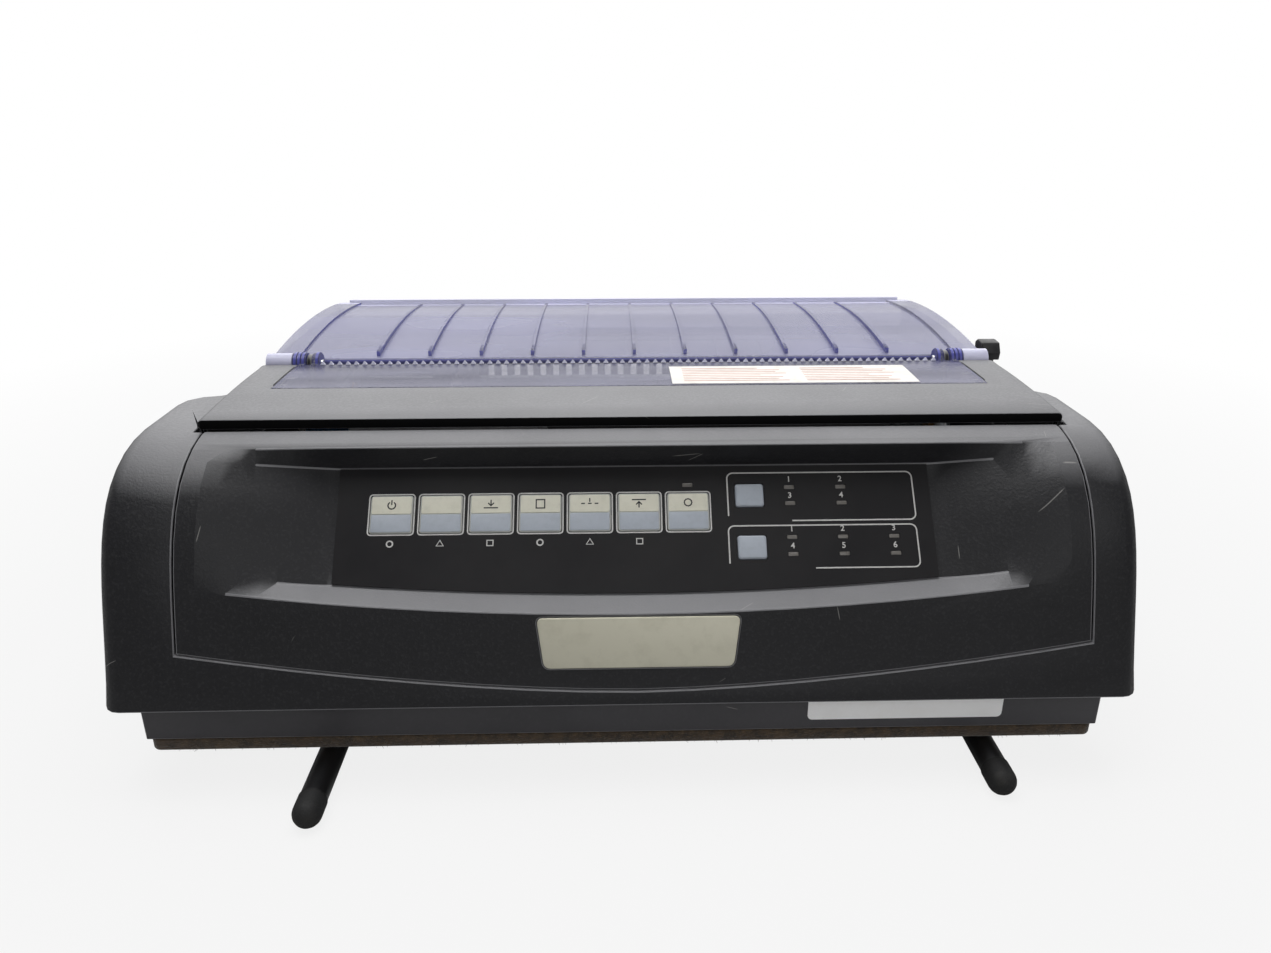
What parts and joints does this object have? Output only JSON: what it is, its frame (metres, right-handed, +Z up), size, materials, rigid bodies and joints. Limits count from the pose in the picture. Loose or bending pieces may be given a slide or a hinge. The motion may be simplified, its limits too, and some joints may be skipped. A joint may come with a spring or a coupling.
{
  "type": "dot matrix printer",
  "caption": "Desktop impact printer with a hinged access cover, clear ribbed paper separator, sloping key panel and tractor feed.",
  "frame": {"origin": "on the table under the centre of the printer's bounding box", "axes": "+X to the printer's right, +Y to the rear, +Z up"},
  "size_m": [0.398, 0.3716, 0.1353],
  "materials": {
    "lower_case": "fine textured",
    "base_pad": "felted",
    "foot_rails": "satin black",
    "rail_caps": "moulded",
    "rail_clips": "moulded",
    "upper_case": "fine textured",
    "panel_sheet": "printed film",
    "panel_lamps": "clear smoked",
    "key_1": "moulded",
    "mode_key_1": "moulded",
    "name_plate": "printed film",
    "cover_window": "clear tinted",
    "hinge_pins": "ground",
    "chassis": "zinc plated sheet",
    "shaft_bushes": "sintered",
    "platen_roller": "ground",
    "platen_gear": "moulded",
    "feed_motor": "die-cast",
    "tractor_left": "moulded",
    "ribbon_knob": "moulded",
    "control_board": "laminate",
    "interface_socket": "tin plated"
  },
  "bodies": {
    "case": {"lower_case": "lower_case", "base_pad": "base_pad", "foot_rails": "foot_rails", "rail_caps": "rail_caps", "rail_clips": "rail_clips", "upper_case": "upper_case", "front_bezel": "upper_case", "panel_sheet": "panel_sheet", "panel_lamps": "panel_lamps", "name_plate": "name_plate", "serial_label": "name_plate", "hinge_pins": "hinge_pins", "chassis": "chassis", "side_frame_left": "chassis", "side_frame_right": "chassis", "shaft_bushes": "shaft_bushes", "feed_motor": "feed_motor", "tractor_rod": "hinge_pins", "carriage_shaft": "hinge_pins", "carriage_motor": "feed_motor", "drive_belt": "rail_caps", "control_board": "control_board", "power_supply": "control_board", "mains_inlet": "rail_clips", "interface_socket": "interface_socket"},
    "cover": {"access_cover": "upper_case", "cover_window": "cover_window", "window_label": "name_plate"},
    "separator": {"paper_separator": "cover_window"},
    "lever": {"paper_lever": "rail_clips"},
    "platen": {"platen_roller": "platen_roller", "platen_shaft": "hinge_pins", "platen_gear": "platen_gear", "platen_knob": "rail_clips"},
    "feed_idler": {"feed_idler_gear": "platen_gear"},
    "feed_drive": {"feed_pinion": "shaft_bushes"},
    "tractor_idler": {"tractor_idler_gear": "platen_gear"},
    "tractor_drive": {"tractor_shaft": "hinge_pins"},
    "left_tractor": {"tractor_left": "tractor_left"},
    "right_tractor": {"tractor_right": "tractor_left"},
    "left_sprocket": {"tractor_sprocket_left": "platen_gear"},
    "right_sprocket": {"tractor_sprocket_right": "platen_gear"},
    "left_lid": {"tractor_lid_left": "tractor_left"},
    "right_lid": {"tractor_lid_right": "tractor_left"},
    "carriage": {"carriage": "tractor_left", "print_head": "feed_motor", "ribbon_cartridge": "tractor_left"},
    "ribbon_knob": {"ribbon_knob": "ribbon_knob"},
    "drive_pulley": {"drive_pulley": "feed_motor"},
    "idler_pulley": {"idler_pulley": "platen_gear"},
    "switch": {"power_switch": "rail_clips"},
    "key_1": {"key_1": "key_1"},
    "key_2": {"key_2": "key_1"},
    "key_3": {"key_3": "key_1"},
    "key_4": {"key_4": "key_1"},
    "key_5": {"key_5": "key_1"},
    "key_6": {"key_6": "key_1"},
    "key_7": {"key_7": "key_1"},
    "mode_key_1": {"mode_key_1": "mode_key_1"},
    "mode_key_2": {"mode_key_2": "mode_key_1"}
  },
  "joints": [
    {"name": "cover_hinge", "type": "hinge", "parent": "case", "child": "cover", "pos_m": [0.0047, -0.0072, 0.1296], "axis": [-1, 0, 0], "range_deg": [0, 90]},
    {"name": "separator_hinge", "type": "hinge", "parent": "case", "child": "separator", "pos_m": [0.0047, -0.0072, 0.1296], "axis": [1, 0, 0], "range_deg": [0, 60]},
    {"name": "lever_pivot", "type": "hinge", "parent": "case", "child": "lever", "pos_m": [0.191, 0.0168, 0.0846], "axis": [-1, 0, 0], "range_deg": [0, 20]},
    {"name": "key_1_press", "type": "slide", "parent": "case", "child": "key_1", "axis": [0, 0.7501, -0.6613], "range_m": [0, 0.0008], "stiffness_N_per_m": 400},
    {"name": "key_2_press", "type": "slide", "parent": "case", "child": "key_2", "axis": [0, 0.7501, -0.6613], "range_m": [0, 0.0008], "stiffness_N_per_m": 400},
    {"name": "key_3_press", "type": "slide", "parent": "case", "child": "key_3", "axis": [0, 0.7501, -0.6613], "range_m": [0, 0.0008], "stiffness_N_per_m": 400},
    {"name": "key_4_press", "type": "slide", "parent": "case", "child": "key_4", "axis": [0, 0.7501, -0.6613], "range_m": [0, 0.0008], "stiffness_N_per_m": 400},
    {"name": "key_5_press", "type": "slide", "parent": "case", "child": "key_5", "axis": [0, 0.7501, -0.6613], "range_m": [0, 0.0008], "stiffness_N_per_m": 400},
    {"name": "key_6_press", "type": "slide", "parent": "case", "child": "key_6", "axis": [0, 0.7501, -0.6613], "range_m": [0, 0.0008], "stiffness_N_per_m": 400},
    {"name": "key_7_press", "type": "slide", "parent": "case", "child": "key_7", "axis": [0, 0.7501, -0.6613], "range_m": [0, 0.0008], "stiffness_N_per_m": 400},
    {"name": "mode_key_1_press", "type": "slide", "parent": "case", "child": "mode_key_1", "axis": [0, 0.7501, -0.6613], "range_m": [0, 0.0008], "stiffness_N_per_m": 400},
    {"name": "mode_key_2_press", "type": "slide", "parent": "case", "child": "mode_key_2", "axis": [0, 0.7501, -0.6613], "range_m": [0, 0.0008], "stiffness_N_per_m": 400},
    {"name": "platen_turn", "type": "hinge", "parent": "case", "child": "platen", "pos_m": [0.0047, 0.0048, 0.0926], "axis": [1, 0, 0], "continuous": true},
    {"name": "feed_idler_turn", "type": "hinge", "parent": "case", "child": "feed_idler", "pos_m": [-0.1563, 0.01832, 0.0636], "axis": [1, 0, 0], "continuous": true},
    {"name": "feed_drive_turn", "type": "hinge", "parent": "case", "child": "feed_drive", "pos_m": [-0.1563, 0.03524, 0.05744], "axis": [1, 0, 0], "continuous": true},
    {"name": "tractor_idler_turn", "type": "hinge", "parent": "case", "child": "tractor_idler", "pos_m": [-0.1563, 0.0358, 0.0926], "axis": [1, 0, 0], "continuous": true},
    {"name": "tractor_drive_turn", "type": "hinge", "parent": "case", "child": "tractor_drive", "pos_m": [0.0047, 0.0618, 0.0926], "axis": [1, 0, 0], "continuous": true},
    {"name": "left_tractor_slide", "type": "slide", "parent": "case", "child": "left_tractor", "axis": [1, 0, 0], "range_m": [-0.03, 0.04]},
    {"name": "right_tractor_slide", "type": "slide", "parent": "case", "child": "right_tractor", "axis": [1, 0, 0], "range_m": [-0.06, 0.03]},
    {"name": "left_sprocket_turn", "type": "hinge", "parent": "left_tractor", "child": "left_sprocket", "pos_m": [-0.0913, 0.0618, 0.0926], "axis": [1, 0, 0], "continuous": true},
    {"name": "right_sprocket_turn", "type": "hinge", "parent": "right_tractor", "child": "right_sprocket", "pos_m": [0.1007, 0.0618, 0.0926], "axis": [1, 0, 0], "continuous": true},
    {"name": "left_lid_hinge", "type": "hinge", "parent": "left_tractor", "child": "left_lid", "pos_m": [-0.1009, 0.0688, 0.1026], "axis": [0, -1, 0], "range_deg": [0, 90]},
    {"name": "right_lid_hinge", "type": "hinge", "parent": "right_tractor", "child": "right_lid", "pos_m": [0.1103, 0.0688, 0.1026], "axis": [0, 1, 0], "range_deg": [0, 90]},
    {"name": "carriage_slide", "type": "slide", "parent": "case", "child": "carriage", "axis": [1, 0, 0], "range_m": [0, 0.19]},
    {"name": "ribbon_knob_turn", "type": "hinge", "parent": "carriage", "child": "ribbon_knob", "pos_m": [-0.1303, -0.0622, 0.1146], "axis": [0, 0, 1], "continuous": true},
    {"name": "drive_pulley_turn", "type": "hinge", "parent": "case", "child": "drive_pulley", "pos_m": [-0.1313, -0.0692, 0.0606], "axis": [0, 0, 1], "continuous": true},
    {"name": "idler_pulley_turn", "type": "hinge", "parent": "case", "child": "idler_pulley", "pos_m": [0.1407, -0.0692, 0.0606], "axis": [0, 0, 1], "continuous": true},
    {"name": "switch_rock", "type": "hinge", "parent": "case", "child": "switch", "pos_m": [0.1956, -0.0972, 0.0686], "axis": [0, 0, -1], "range_deg": [0, 12]}
  ],
  "couplings": [
    {"joint": "feed_idler_turn", "follows": "platen_turn", "ratio": -1.6667},
    {"joint": "feed_drive_turn", "follows": "platen_turn", "ratio": 3.3333},
    {"joint": "tractor_idler_turn", "follows": "platen_turn", "ratio": -1.8182},
    {"joint": "tractor_drive_turn", "follows": "platen_turn", "ratio": 1.3333},
    {"joint": "left_sprocket_turn", "follows": "platen_turn", "ratio": 1.3333},
    {"joint": "right_sprocket_turn", "follows": "platen_turn", "ratio": 1.3333},
    {"joint": "drive_pulley_turn", "follows": "carriage_slide", "rad_per_m": -112.36},
    {"joint": "idler_pulley_turn", "follows": "carriage_slide", "rad_per_m": -112.36}
  ]
}
